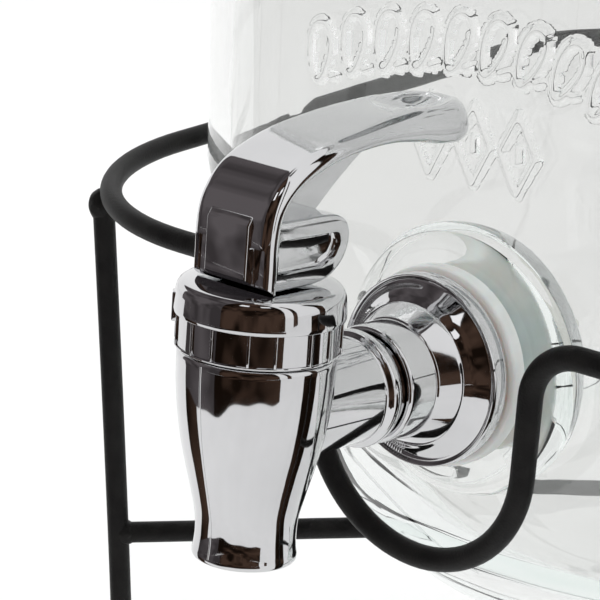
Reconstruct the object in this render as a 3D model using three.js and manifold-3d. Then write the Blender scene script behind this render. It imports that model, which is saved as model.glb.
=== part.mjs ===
// Countertop drink dispenser: a rounded-square glass jar with a lever tap, in a black wire stand.
// Millimetres, +Z up, the tap points along -Y. The origin is on the floor, at the middle of the footprint.

import * as THREE from "three";
import { mergeVertices } from "three/addons/utils/BufferGeometryUtils.js";
import Module from "manifold-3d";

const wasm = await Module();
wasm.setup();

// ---------- driving dimensions ----------

const GAP = 0.3; // clearance between pieces that touch

// Stand
const WIRE_R = 2.5;
const HOOP_HALF = 119.5; // centre line of the hoop's straight sides, from the jar's axis
const HOOP_CORNER = 56; // centre-line radius of the hoop's corners
const BAR_Z = 125; // centre line of the crossbars
const HOOP_Z = BAR_Z + 85;
const DIP_DEPTH = 52.6; // the dip in the hoop's front, where the tap's shank sits
const DIP_R = 26.9; // round bottom of the dip
const DIP_LEAN = THREE.MathUtils.degToRad(4.6); // its arms open upwards
const SHOULDER_R = 11.6;
const CORNER_REACH = HOOP_CORNER + (HOOP_HALF - HOOP_CORNER) * Math.SQRT2;
const LEG_RADIUS = CORNER_REACH + 1.3; // the legs stand just outside the hoop's corners
const FOOT_R = 4.2;
const FOOT_H = 14;

// Jar
const JAR_HALF = 106.5; // half the width across the flats, where it is widest
const JAR_CORNER = 0.56; // corner radius over half width
const JAR_BASE = BAR_Z + WIRE_R + GAP;
const JAR_HEIGHT = 270;
const WALL = 4;
const NECK_R = 56;
const NECK_H = 22;

// Tap
const TAP_TILT = THREE.MathUtils.degToRad(5.8); // the tap stands square to the boss, which leans back
const TAP_Z = HOOP_Z - 7.6; // where the shank's axis meets the nozzle's
const TAP_FRONT = 167; // from the jar's axis to the nozzle's
const TAP_REACH = 56.5; // from the nozzle's axis to the boss, along the shank
const PAD = 13; // thickness of the boss, which stands proud on both sides of the wall
const SHANK_R = 10.4;
const BOSS_R = 27.2;
const SPRING_WIRE_R = 0.45;

// ---------- materials ----------

const finish = (color, roughness, metalness) =>
  new THREE.MeshStandardMaterial({ color, roughness, metalness });
const MATERIALS = {
  wire: finish(0x151515, 0.55, 0.2),
  rubber: finish(0x1b1b1b, 0.85, 0),
  glass: finish(0xdfe8e6, 0.05, 0),
  steel: finish(0xb9bbbd, 0.3, 1),
  chrome: finish(0xe4e5e7, 0.06, 1),
  silicone: finish(0xe9ebe8, 0.6, 0),
  nylon: finish(0xf0efe9, 0.45, 0),
};

// ---------- solids ----------

function toSolid(geometry) {
  const plain = geometry.clone();
  plain.deleteAttribute("normal");
  plain.deleteAttribute("uv");
  const merged = mergeVertices(plain, 1e-4);
  const vertProperties = new Float32Array(merged.attributes.position.array);
  const triVerts = new Uint32Array(merged.index.array);
  return new wasm.Manifold(new wasm.Mesh({ numProp: 3, vertProperties, triVerts }));
}

function toGeometry(solid) {
  const mesh = solid.getMesh();
  const geometry = new THREE.BufferGeometry();
  geometry.setAttribute("position", new THREE.BufferAttribute(mesh.vertProperties, 3));
  geometry.setIndex(new THREE.BufferAttribute(mesh.triVerts, 1));
  geometry.computeVertexNormals();
  return geometry;
}

// Joins the first geometry with `added` and cuts `removed` from it.
function carve(first, added, removed) {
  let solid = toSolid(first);
  for (const extra of added) solid = solid.add(toSolid(extra));
  for (const cut of removed) solid = solid.subtract(toSolid(cut));
  return toGeometry(solid);
}

// A body of revolution about Z, from [radius, height] pairs.
function turned(profile, sides = 32) {
  const points = profile.map(([r, z]) => new THREE.Vector2(r, z));
  return new THREE.LatheGeometry(points, sides).rotateX(Math.PI / 2);
}

// A ring about Z with a rectangular section.
function ring(inner, outer, low, high, sides = 32) {
  const corners = [[inner, low], [outer, low], [outer, high], [inner, high], [inner, low]];
  return turned(corners, sides);
}

function rod(radius, low, high, sides = 24) {
  return turned([[0, low], [radius, low], [radius, high], [0, high]], sides);
}

// A rod along Y.
function rodY(radius, from, to, sides = 24) {
  return rod(radius, -to, -from, sides).rotateX(Math.PI / 2);
}

// A shape drawn in Y and Z, given a thickness along X.
function slab(shape, thickness) {
  const options = { depth: thickness, bevelEnabled: false, curveSegments: 10 };
  const geometry = new THREE.ExtrudeGeometry(shape, options).translate(0, 0, -thickness / 2);
  return geometry.rotateZ(Math.PI / 2).rotateY(Math.PI / 2);
}

// A straight wire between two points.
function wire(from, to, radius = WIRE_R, sides = 12) {
  const length = from.distanceTo(to);
  const geometry = new THREE.CylinderGeometry(radius, radius, length, sides);
  const along = to.clone().sub(from).normalize();
  const turn = new THREE.Quaternion().setFromUnitVectors(new THREE.Vector3(0, 1, 0), along);
  const middle = from.clone().add(to).multiplyScalar(0.5);
  return geometry.applyQuaternion(turn).translate(middle.x, middle.y, middle.z);
}

function part(name, geometry, material) {
  const mesh = new THREE.Mesh(geometry, material);
  mesh.name = name;
  return mesh;
}

// ---------- stand ----------

// Distance from the centre to a rounded square's edge, at an angle.
function roundedSquare(angle, half, corner) {
  const c = Math.abs(Math.cos(angle));
  const s = Math.abs(Math.sin(angle));
  const far = Math.max(c, s);
  const near = Math.min(c, s);
  const core = half - corner;
  if ((half * near) / far <= core) return half / far;
  const reach = core * (c + s);
  return reach + Math.sqrt(reach * reach - 2 * core * core + corner * corner);
}

// The hoop's centre line: straight sides, round corners and the dip at the front.
function hoopPath() {
  const h = HOOP_HALF;
  const r = HOOP_CORNER;
  const bottom = HOOP_Z - DIP_DEPTH + DIP_R; // centre of the dip's round bottom
  const armTop = DIP_R * Math.cos(DIP_LEAN) + (HOOP_Z - bottom) * Math.tan(DIP_LEAN);
  const shoulder = armTop + DIP_R * Math.sin(DIP_LEAN) * Math.tan(DIP_LEAN) + SHOULDER_R * 0.92;

  const plan = new THREE.Path();
  plan.moveTo(shoulder, -h);
  plan.lineTo(h - r, -h);
  plan.absarc(h - r, r - h, r, -Math.PI / 2, 0);
  plan.absarc(h - r, h - r, r, 0, Math.PI / 2);
  plan.absarc(r - h, h - r, r, Math.PI / 2, Math.PI);
  plan.absarc(r - h, r - h, r, Math.PI, 1.5 * Math.PI);
  plan.lineTo(-shoulder, -h);

  const dip = new THREE.Path();
  dip.moveTo(-shoulder, HOOP_Z);
  dip.absarc(-shoulder, HOOP_Z - SHOULDER_R, SHOULDER_R, Math.PI / 2, DIP_LEAN, true);
  dip.absarc(0, bottom, DIP_R, Math.PI + DIP_LEAN, -DIP_LEAN);
  dip.absarc(shoulder, HOOP_Z - SHOULDER_R, SHOULDER_R, Math.PI - DIP_LEAN, Math.PI / 2, true);

  const round = plan.getSpacedPoints(96).map((p) => new THREE.Vector3(p.x, p.y, HOOP_Z));
  const front = dip.getSpacedPoints(32).map((p) => new THREE.Vector3(p.x, -h, p.y));
  return new THREE.CatmullRomCurve3([...round, ...front.slice(1, -1)], true);
}

function makeStand() {
  const stand = new THREE.Group();
  const hoop = new THREE.TubeGeometry(hoopPath(), 120, WIRE_R, 8, true);
  stand.add(part("stand_hoop", hoop, MATERIALS.wire));

  const corners = { front_left: -135, front_right: -45, rear_right: 45, rear_left: 135 };
  for (const [name, degrees] of Object.entries(corners)) {
    const angle = THREE.MathUtils.degToRad(degrees);
    const at = (z) => new THREE.Vector3(LEG_RADIUS * Math.cos(angle), LEG_RADIUS * Math.sin(angle), z);
    stand.add(part("leg_" + name, wire(at(GAP + 2), at(HOOP_Z - WIRE_R - GAP)), MATERIALS.wire));
    const cap = turned([
      [0, 0], [FOOT_R - 0.8, 0], [FOOT_R, 0.8], [FOOT_R, FOOT_H - 1], [FOOT_R - 1, FOOT_H],
      [WIRE_R + GAP, FOOT_H], [WIRE_R + GAP, 2], [0, 2],
    ], 20);
    const foot = part("foot_cap_" + name, cap, MATERIALS.rubber);
    foot.position.copy(at(0));
    stand.add(foot);
  }

  const reach = LEG_RADIUS - WIRE_R - GAP;
  const diagonal = (from, to, direction) => {
    const step = new THREE.Vector3(Math.SQRT1_2, direction * Math.SQRT1_2, 0);
    const lift = new THREE.Vector3(0, 0, BAR_Z);
    return wire(step.clone().multiplyScalar(from).add(lift), step.clone().multiplyScalar(to).add(lift));
  };
  stand.add(part("crossbar_long", diagonal(-reach, reach, 1), MATERIALS.wire));
  stand.add(part("crossbar_half_left", diagonal(-reach, -WIRE_R - GAP, -1), MATERIALS.wire));
  stand.add(part("crossbar_half_right", diagonal(WIRE_R + GAP, reach, -1), MATERIALS.wire));
  return stand;
}

// ---------- tap: lengths along the nozzle (Z) and the shank (Y, towards the jar) ----------

const NOZZLE_LOW = -27.5;
const BODY_TOP = 13; // the bonnet sits on this shoulder
const BONNET_TOP = 26;
const SEAT_Z = -7;
const CHAMBER_R = 9.5;
const NOZZLE_BORE_R = 6.5;
const WATERWAY_R = 5;
const NECK_TOP = 21.5;
const NECK_THREAD_R = 11.8;
const BONNET_R = 16;
const FLANGE_R = 19.5;
const WASHER = 3.5;
const SHANK_END = TAP_REACH + PAD + 16;
const PIN_Z = BONNET_TOP + 6.3; // the pin that joins the lever to the stem
const PIN_R = 1.4;
const NUT_H = 9;
const STEM_R = 2.4;
const LEVER_W = 19;
const LEVER_FRONT = -9.5;
const LEVER_FOOT = BONNET_TOP + GAP;
const LOBE_W = 17.6; // the block behind the leg, a little narrower than the leg

function makeTapBody() {
  const nozzle = turned([
    [0, NOZZLE_LOW], [9.2, NOZZLE_LOW], [10, NOZZLE_LOW + 1], [9.6, -23], [9.8, -19], [10.8, -15],
    [12.2, -10], [13.4, -5], [14.3, 1], [14.9, 7], [15.1, BODY_TOP - 1], [14.6, BODY_TOP - GAP],
    [NECK_THREAD_R, BODY_TOP - GAP], [NECK_THREAD_R, NECK_TOP], [0, NECK_TOP],
  ], 40);
  const shank = rodY(SHANK_R, 5, SHANK_END, 32);
  const bead = turned([[0, 27.5], [SHANK_R + 0.2, 27.5], [11.6, 28.8], [11.6, 30.2],
    [SHANK_R + 0.2, 31.5], [0, 31.5]], 32).rotateX(-Math.PI / 2);
  const chamber = rod(CHAMBER_R, SEAT_Z, NECK_TOP + 1, 28);
  const outlet = rod(NOZZLE_BORE_R, NOZZLE_LOW - 1, SEAT_Z + 1, 28);
  const waterway = rodY(WATERWAY_R, 0, SHANK_END + 1, 20);
  return carve(nozzle, [shank, bead], [chamber, outlet, waterway]);
}

// A ribbed cap: a smooth crown over a band of raised ribs.
function makeBonnet() {
  const shell = turned([
    [NECK_THREAD_R + GAP, BODY_TOP], [BONNET_R - 0.9, BODY_TOP], [BONNET_R - 0.7, BODY_TOP + 7],
    [BONNET_R, BODY_TOP + 7.6], [BONNET_R, BODY_TOP + 10], [BONNET_R - 1.2, BONNET_TOP - 1],
    [BONNET_R - 3, BONNET_TOP], [STEM_R + GAP, BONNET_TOP], [STEM_R + GAP, NECK_TOP + 2],
    [NECK_THREAD_R + GAP, NECK_TOP + 2], [NECK_THREAD_R + GAP, BODY_TOP],
  ], 40);
  const ribs = [];
  const ribCount = 14;
  for (let i = 0; i < ribCount; i += 1) {
    const rib = new THREE.BoxGeometry(1, 1.2, 6.6).translate(BONNET_R - 0.9, 0, BODY_TOP + 3.7);
    ribs.push(rib.rotateZ((i * 2 * Math.PI) / ribCount));
  }
  return carve(shell, ribs, []);
}

// The stepped flange on a sleeve, which slides on the shank and bears on the outer washer.
function makeEscutcheon() {
  const back = TAP_REACH - WASHER - 2 * GAP;
  const bore = SHANK_R + GAP;
  const front = back - 20.6;
  return turned([
    [bore, back], [bore, front], [11.5, front], [11.7, front + 7.4], [12.9, back - 11.8], [14.4, back - 10.8],
    [14.4, back - 8.2], [16.6, back - 7.4], [16.6, back - 5.2], [FLANGE_R - 0.3, back - 5.1],
    [FLANGE_R, back - 3.8], [FLANGE_R, back - 1], [FLANGE_R - 0.8, back], [bore, back],
  ], 40).rotateX(-Math.PI / 2);
}

// The outline of the leg and of the arm that sweeps back to the thumb paddle.
function leverArm() {
  const arm = new THREE.Shape();
  arm.moveTo(LEVER_FRONT + 2, LEVER_FOOT);
  arm.lineTo(LEVER_FRONT, LEVER_FOOT + 1.5);
  arm.lineTo(LEVER_FRONT, LEVER_FOOT + 10);
  arm.bezierCurveTo(-9.3, 42, -6.5, 47, 0.5, 49.2);
  arm.bezierCurveTo(10, 52.5, 26, 56, 40, 56.8);
  arm.bezierCurveTo(46, 56.8, 51.5, 55.5, 51.5, 52.5);
  arm.bezierCurveTo(51.5, 49.5, 47, 47.7, 42, 47.7);
  arm.bezierCurveTo(34, 47.7, 24, 51.5, 14.6, 51.2);
  arm.bezierCurveTo(7, 50.8, 2.5, 49, 0.5, 45);
  arm.bezierCurveTo(-1.5, 43, -5, 40, -6.2, 37.5);
  arm.lineTo(-6.2, LEVER_FOOT);
  arm.closePath();
  return arm;
}

// The lever: a leg with a cam lobe behind it, a swept arm with a rib under it, and a thumb paddle.
function makeLever() {
  const outline = (corners) => new THREE.Shape(corners.map(([y, z]) => new THREE.Vector2(y, z)));
  const lobe = outline([
    [-7, LEVER_FOOT], [4.5, LEVER_FOOT], [7.5, 27], [10.3, 29], [12, 31.5], [12.3, 33.5],
    [11.5, 36.2], [8, 37.6], [-7, 38.5],
  ]);
  const rib = outline([[-7, 36], [8.6, 37], [15.6, 43.3], [23.2, 48.4], [30, 51], [10, 51.5], [0, 47]]);
  const slot = outline([
    [-6.4, LEVER_FOOT - 1], [3, LEVER_FOOT - 1], [3, PIN_Z - 1], [3.8, PIN_Z + 1.3],
    [3.8, PIN_Z + 3.8], [-3, PIN_Z + 3.8], [-3.1, PIN_Z],
  ]);
  const plate = new THREE.BoxGeometry(10, 2, 11.8).translate(0, LEVER_FRONT + 0.2, LEVER_FOOT + 7.2);
  const pinHole = rod(PIN_R + 0.1, -12, 12, 16).rotateY(Math.PI / 2).translate(0, 0, PIN_Z);
  const cuts = [slab(slot, 6.4), pinHole];
  for (const side of [-1, 1]) {
    const recess = new THREE.BoxGeometry(3.2, 2.4, 7).translate(side * 6.8, LEVER_FRONT, LEVER_FOOT + 4.6);
    const pocket = new THREE.BoxGeometry(1.7, 14.6, 4.6).translate((side * LOBE_W) / 2, 2, PIN_Z);
    cuts.push(recess, pocket);
  }
  return carve(slab(leverArm(), LEVER_W), [slab(lobe, LOBE_W), slab(rib, 6), plate], cuts);
}

function makeStem() {
  const shaft = rod(STEM_R, SEAT_Z + 5, PIN_Z + 2.6, 20);
  const collar = rod(5, SEAT_Z + 5, SEAT_Z + 7, 20);
  const hole = rod(PIN_R + 0.1, -6, 6, 16).rotateY(Math.PI / 2).translate(0, 0, PIN_Z);
  return carve(shaft, [collar], [hole]);
}

function makeSpring() {
  const low = SEAT_Z + 7 + GAP + SPRING_WIRE_R;
  const high = NECK_TOP - GAP - SPRING_WIRE_R;
  const turns = 6;
  const radius = 4.4;
  const points = [];
  for (let i = 0; i <= turns * 8; i += 1) {
    const angle = (i / 8) * 2 * Math.PI;
    const z = low + ((high - low) * i) / (turns * 8);
    points.push(new THREE.Vector3(radius * Math.cos(angle), radius * Math.sin(angle), z));
  }
  const section = new THREE.Shape().absarc(0, 0, SPRING_WIRE_R, 0, 2 * Math.PI);
  const options = { steps: turns * 12, curveSegments: 3, extrudePath: new THREE.CatmullRomCurve3(points) };
  return new THREE.ExtrudeGeometry(section, options);
}

function makeTap() {
  const tap = new THREE.Group();
  const add = (name, geometry, material) => tap.add(part(name, geometry, material));
  add("tap_body", makeTapBody(), MATERIALS.chrome);
  add("bonnet", makeBonnet(), MATERIALS.chrome);
  const seal = ring(STEM_R + GAP, CHAMBER_R + 1, NECK_TOP + GAP, NECK_TOP + 2 - GAP);
  add("bonnet_seal", seal, MATERIALS.rubber);
  add("escutcheon", makeEscutcheon(), MATERIALS.chrome);
  add("lever", makeLever(), MATERIALS.chrome);
  const pin = rod(PIN_R, 1 - LOBE_W / 2, LOBE_W / 2 - 1, 16).rotateY(Math.PI / 2).translate(0, 0, PIN_Z);
  add("lever_pin", pin, MATERIALS.steel);
  add("valve_stem", makeStem(), MATERIALS.nylon);
  const cupTop = SEAT_Z + 5 - GAP;
  const cup = [[0, SEAT_Z + GAP], [8, SEAT_Z + GAP], [8.3, SEAT_Z + 3], [3, cupTop], [0, cupTop]];
  add("seat_cup", turned(cup), MATERIALS.silicone);
  add("return_spring", makeSpring(), MATERIALS.steel);

  const washer = (from, to, outer) => ring(SHANK_R + GAP, outer, from, to).rotateX(-Math.PI / 2);
  const inside = TAP_REACH + PAD + GAP;
  const nutFrom = inside + 2.5 + GAP;
  add("outer_washer", washer(TAP_REACH - WASHER - GAP, TAP_REACH - GAP, FLANGE_R + 1), MATERIALS.silicone);
  add("inner_washer", washer(inside, inside + 2.5, FLANGE_R), MATERIALS.silicone);
  const nut = new THREE.CylinderGeometry(18, 18, NUT_H, 6).translate(0, nutFrom + NUT_H / 2, 0);
  const nutBore = rodY(SHANK_R + GAP, nutFrom - 1, nutFrom + NUT_H + 1);
  add("lock_nut", carve(nut, [], [nutBore]), MATERIALS.nylon);

  tap.rotation.x = -TAP_TILT;
  return tap;
}

// ---------- jar ----------

// Outline points: [half width, height above the base, squareness from 0 (round) to 1 (square)].
function jarProfile() {
  const h = JAR_HALF;
  const top = JAR_HEIGHT;
  const shoulder = top - NECK_H;
  const outer = [
    [0, 3, 0], [h - 36, 2.5, 0], [h - 33, 0, 0], [h - 28, 0, 0], [h - 20, 4, 0], [h - 11, 15, 0.05],
    [h - 4, 32, 0.25], [h - 1, 52, 0.55], [h, 72, 0.85], [h, 90, 1], [h - 3, shoulder - 45, 1],
    [h - 6, shoulder - 30, 0.95], [h - 14, shoulder - 16, 0.8], [h - 28, shoulder - 6, 0.5],
    [NECK_R + 4, shoulder - 1, 0.1], [NECK_R, shoulder + 3, 0], [NECK_R, top - 1, 0], [NECK_R - 1, top, 0],
  ];
  const t = WALL;
  const inner = [
    [NECK_R - t, top, 0], [NECK_R - t, shoulder + 2, 0], [NECK_R, shoulder - 5, 0.1],
    [h - 31, shoulder - 11, 0.5], [h - 17, shoulder - 20, 0.8], [h - t - 6, shoulder - 33, 0.95],
    [h - t - 3, shoulder - 47, 1], [h - t, 90, 1], [h - t, 73, 0.85], [h - t - 1, 54, 0.55],
    [h - t - 5, 35, 0.25], [h - t - 13, 20, 0.05], [h - t - 26, 12, 0], [h - 44, 10, 0], [0, 10, 0],
  ];
  return [...outer, ...inner];
}

// A lathe whose rings are pushed out from circles to rounded squares.
function squaredLathe(profile, sides) {
  const points = profile.map(([r, z]) => new THREE.Vector2(r, z));
  const geometry = new THREE.LatheGeometry(points, sides).rotateX(Math.PI / 2);
  const position = geometry.attributes.position;
  for (let i = 0; i < position.count; i += 1) {
    const squareness = profile[i % profile.length][2];
    const angle = Math.atan2(position.getY(i), position.getX(i));
    const grow = 1 + squareness * (roundedSquare(angle, 1, JAR_CORNER) - 1);
    position.setXY(i, position.getX(i) * grow, position.getY(i) * grow);
  }
  return geometry;
}

function makeJar(tapMatrix) {
  const shell = squaredLathe(jarProfile(), 56);
  shell.translate(0, 0, JAR_BASE);
  const place = (geometry) => geometry.applyMatrix4(tapMatrix);
  const boss = place(rodY(BOSS_R, TAP_REACH, TAP_REACH + PAD, 40));
  const hole = place(rodY(SHANK_R + GAP, TAP_REACH - 10, TAP_REACH + PAD + 10, 32));
  const threadTop = JAR_BASE + JAR_HEIGHT - 10;
  const thread = ring(NECK_R - 1, NECK_R + 1.6, threadTop - 2, threadTop, 48);
  return carve(shell, [boss, thread], [hole]);
}

function makeLid() {
  const lid = new THREE.Group();
  const rim = JAR_BASE + JAR_HEIGHT;
  const outer = NECK_R + 4.6;
  const skirt = turned([
    [outer - 1.4, rim - 16], [outer, rim - 16], [outer, rim + 3.5], [outer - 1.2, rim + 4.8],
    [NECK_R - 6, rim + 4.8], [NECK_R - 6, rim + 3.8], [outer - 1.4, rim + 3.8], [outer - 1.4, rim - 16],
  ], 48);
  lid.add(part("lid_band", skirt, MATERIALS.steel));
  const disc = turned([
    [0, rim + 2.4], [outer - 2, rim + 2.4], [outer - 2, rim + 3.5], [NECK_R - 7, rim + 3.5],
    [NECK_R - 9, rim + 5.5], [0, rim + 5.5],
  ], 48);
  lid.add(part("lid_disc", disc, MATERIALS.steel));
  lid.add(part("lid_gasket", ring(NECK_R - 5, NECK_R + 1, rim + GAP, rim + 2.1, 48), MATERIALS.silicone));
  return lid;
}

// ---------- assembly ----------

const dispenser = new THREE.Group();
const tap = makeTap();
tap.position.set(0, -TAP_FRONT, TAP_Z);
tap.updateMatrixWorld(true);
dispenser.add(makeStand(), tap, makeLid());
dispenser.add(part("glass_jar", makeJar(tap.matrixWorld), MATERIALS.glass));

const bounds = new THREE.Box3().setFromObject(dispenser);
dispenser.position.y = -(bounds.min.y + bounds.max.y) / 2;

export default dispenser;
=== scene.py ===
"""Looks for a countertop drink dispenser: a glass jar with a chrome lever tap in a black wire stand.

Metres and +Z up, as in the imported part. Shapes are drawn in millimetres and scaled as they are placed.
"""

import math

import bmesh
import bpy
import numpy as np
from mathutils import Matrix, Vector


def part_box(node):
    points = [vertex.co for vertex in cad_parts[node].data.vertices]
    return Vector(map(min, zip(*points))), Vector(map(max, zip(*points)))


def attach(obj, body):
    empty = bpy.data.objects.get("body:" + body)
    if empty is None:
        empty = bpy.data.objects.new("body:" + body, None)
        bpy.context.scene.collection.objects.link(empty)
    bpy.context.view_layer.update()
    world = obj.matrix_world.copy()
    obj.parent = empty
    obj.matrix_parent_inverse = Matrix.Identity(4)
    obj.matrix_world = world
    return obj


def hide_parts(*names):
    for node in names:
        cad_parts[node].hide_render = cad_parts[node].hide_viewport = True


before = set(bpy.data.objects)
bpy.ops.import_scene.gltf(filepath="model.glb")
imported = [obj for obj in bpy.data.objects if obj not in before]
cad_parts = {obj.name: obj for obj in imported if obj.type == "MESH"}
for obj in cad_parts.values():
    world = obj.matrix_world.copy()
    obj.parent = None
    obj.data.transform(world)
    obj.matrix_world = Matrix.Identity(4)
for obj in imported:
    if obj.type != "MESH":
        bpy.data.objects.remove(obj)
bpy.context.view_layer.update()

MM = 0.001
TURN = 2 * math.pi
UP = Vector((0, 0, 1))
ON_AXIS = 1e-6  # an outline's point nearer to the axis than this is on it

# ---------- sizes that the part has, in millimetres ----------

WIRE_R = 2.5
TAP_TILT = math.radians(5.8)
PIN_Z = 32.3  # the lever's pin above the shank's axis, along the nozzle
PIN_HOLE_R = 1.5
BONNET_TOP = 26
BODY_TOP = 13
NECK_TOP = 21.5  # top of the tap body's neck, inside the bonnet
NOZZLE_LOW = -27.5
SEAT_Z = -7
SHANK_R = 10.4
TAP_REACH = 56.5  # from the nozzle's axis to the glass
PAD = 13  # thickness of the jar's boss
SHANK_END = TAP_REACH + PAD + 16
WASHER = 3.5
GAP = 0.3
STEM_R = 2.4
JAR_HALF = 106.5
JAR_CORNER = 0.59  # radius of the jar's corners against its half width
JAR_HEIGHT = 270
NECK_R = 56
NECK_H = 22
WALL = 4


def centre(node):
    low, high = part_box(node)
    return (low + high) / (2 * MM)


PIN = centre("lever_pin")
JAR_AXIS = centre("lid_band")
JAR_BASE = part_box("glass_jar")[0].z / MM
HOOP_LOW, HOOP_HIGH = (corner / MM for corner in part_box("stand_hoop"))
HOOP_HALF = HOOP_HIGH.x - WIRE_R
HOOP_Z = HOOP_HIGH.z - WIRE_R
BAR_Z = centre("crossbar_long").z

TAP_TURN = Matrix.Rotation(-TAP_TILT, 4, "X")
TAP_ORIGIN = PIN - TAP_TURN @ Vector((0, 0, PIN_Z))
TO_METRES = Matrix.Scale(MM, 4)
TAP = TO_METRES @ Matrix.Translation(TAP_ORIGIN) @ TAP_TURN
JAR = TO_METRES @ Matrix.Translation((JAR_AXIS.x, JAR_AXIS.y, JAR_BASE))
STAND = TO_METRES @ Matrix.Translation((JAR_AXIS.x, JAR_AXIS.y, 0))
ALONG_Y = Matrix.Rotation(-math.pi / 2, 4, "X")  # a lathe's Z becomes +Y
ALONG_PIN = Matrix.Translation((0, 0, PIN_Z)) @ Matrix.Rotation(math.pi / 2, 4, "Y")  # and here +X


def placed(name, data):
    """A new object in the scene."""
    obj = bpy.data.objects.new(name, data)
    bpy.context.scene.collection.objects.link(obj)
    return obj


# ---------- camera ----------

VIEW_AZIMUTH = math.radians(42.24)  # from the front of the tap towards +X
VIEW_ELEVATION = math.radians(19.61)
VIEW_DISTANCE = 484.56
VIEW_ACROSS = 8.66  # the camera's shift to the right and up, from facing the tap's origin
VIEW_UP = 21.29
LENS = 157.06


def make_camera():
    away = Vector((
        math.sin(VIEW_AZIMUTH) * math.cos(VIEW_ELEVATION),
        -math.cos(VIEW_AZIMUTH) * math.cos(VIEW_ELEVATION),
        math.sin(VIEW_ELEVATION),
    ))
    right = Vector((math.cos(VIEW_AZIMUTH), math.sin(VIEW_AZIMUTH), 0))
    up = away.cross(right)
    camera = placed("camera", bpy.data.cameras.new("camera"))
    camera.data.lens = LENS
    camera.data.clip_start = 0.01
    camera.location = MM * (TAP_ORIGIN + away * VIEW_DISTANCE + right * VIEW_ACROSS + up * VIEW_UP)
    camera.rotation_euler = (-away).to_track_quat("-Z", "Y").to_euler()
    bpy.context.scene.camera = camera


# ---------- shader nodes ----------


def node_material(name):
    material = bpy.data.materials.new(name)
    material.use_nodes = True
    return material, material.node_tree


def set_inputs(node, values):
    for socket, value in values.items():
        node.inputs[socket.replace("_", " ")].default_value = value


def add(tree, kind, **values):
    """A new node, with some of its inputs set."""
    node = tree.nodes.new("ShaderNode" + kind)
    set_inputs(node, values)
    return node


def noise(tree, scale, detail):
    """Noise in the object's own space."""
    place = add(tree, "TexCoord")
    field = add(tree, "TexNoise", Scale=scale, Detail=detail)
    tree.links.new(place.outputs["Object"], field.inputs["Vector"])
    return field.outputs["Fac"]


def ramp(tree, value, colours, places=(0.0, 1.0)):
    """A colour that runs from the first to the second as the value goes between two places."""
    node = add(tree, "ValToRGB")
    for stop, colour, place in zip(node.color_ramp.elements, colours, places):
        stop.color = (*colour, 1)
        stop.position = place
    tree.links.new(value, node.inputs["Fac"])
    return node.outputs["Color"]


def spread(tree, value, low, high):
    """The value, which is from 0 to 1, spread from low to high."""
    node = add(tree, "MapRange", To_Min=low, To_Max=high)
    tree.links.new(value, node.inputs["Value"])
    return node.outputs["Result"]


def bumpy(tree, value, strength, depth):
    """Normals for a surface that rises and falls with the value."""
    node = add(tree, "Bump", Strength=strength, Distance=depth)
    tree.links.new(value, node.inputs["Height"])
    return node.outputs["Normal"]


def calculate(tree, operation, first, second):
    """Arithmetic on a socket with a second socket, or with a number."""
    node = add(tree, "Math")
    node.operation = operation
    tree.links.new(first, node.inputs[0])
    if isinstance(second, (int, float)):
        node.inputs[1].default_value = second
    else:
        tree.links.new(second, node.inputs[1])
    return node.outputs["Value"]


def mixed_surface(tree, factor, first, second):
    """The material's surface: the first shader where the factor is 0, and the second where it is 1."""
    node = add(tree, "MixShader")
    for socket, source in zip(node.inputs, (factor, first, second)):
        tree.links.new(source, socket)
    tree.links.new(node.outputs["Shader"], tree.nodes["Material Output"].inputs["Surface"])


# ---------- materials ----------

FINE_RELIEF = 0.0004  # metres
GLASS_WAVE = 0.004
TRACED_BOUNCES = 3  # a ray that has bounced more often goes straight through the glass


def surface(name, colours, rough, rough_spread=0.05, scale=60, bump=0.02, bump_scale=900, **inputs):
    """A procedural finish: noise moves its colour between two tones, and sets its roughness and bump."""
    material, tree = node_material(name)
    shader = tree.nodes["Principled BSDF"]
    set_inputs(shader, inputs)
    broad = noise(tree, scale, 4)
    fine = noise(tree, bump_scale, 3)
    roughness = spread(tree, broad, max(0.0, rough - rough_spread), rough + rough_spread)
    tree.links.new(ramp(tree, broad, colours, (0.35, 0.65)), shader.inputs["Base Color"])
    tree.links.new(roughness, shader.inputs["Roughness"])
    tree.links.new(bumpy(tree, fine, bump, FINE_RELIEF), shader.inputs["Normal"])
    return material


def glass(name):
    """Clear soda glass: faint green in its thick base, with slow waves in its faces."""
    material, tree = node_material(name)
    shader = tree.nodes["Principled BSDF"]
    set_inputs(shader, {"Transmission Weight": 1, "IOR": 1.5})
    wave = noise(tree, 22, 1.5)
    tint = ramp(tree, wave, ((0.85, 0.852, 0.845), (0.885, 0.886, 0.88)))
    tree.links.new(tint, shader.inputs["Base Color"])
    tree.links.new(spread(tree, wave, 0.0, 0.02), shader.inputs["Roughness"])
    tree.links.new(bumpy(tree, wave, 0.12, GLASS_WAVE), shader.inputs["Normal"])

    path = add(tree, "LightPath")
    soft = calculate(tree, "MAXIMUM", path.outputs["Is Shadow Ray"], path.outputs["Is Diffuse Ray"])
    late = calculate(tree, "GREATER_THAN", path.outputs["Ray Depth"], TRACED_BOUNCES)
    straight = add(tree, "BsdfTransparent", Color=(0.97, 0.98, 0.975, 1))
    goes_straight = calculate(tree, "MAXIMUM", soft, late)
    mixed_surface(tree, goes_straight, shader.outputs["BSDF"], straight.outputs["BSDF"])

    depth = add(tree, "VolumeAbsorption", Color=(0.76, 0.84, 0.82, 1), Density=3.5)
    tree.links.new(depth.outputs["Volume"], tree.nodes["Material Output"].inputs["Volume"])
    return material


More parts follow.
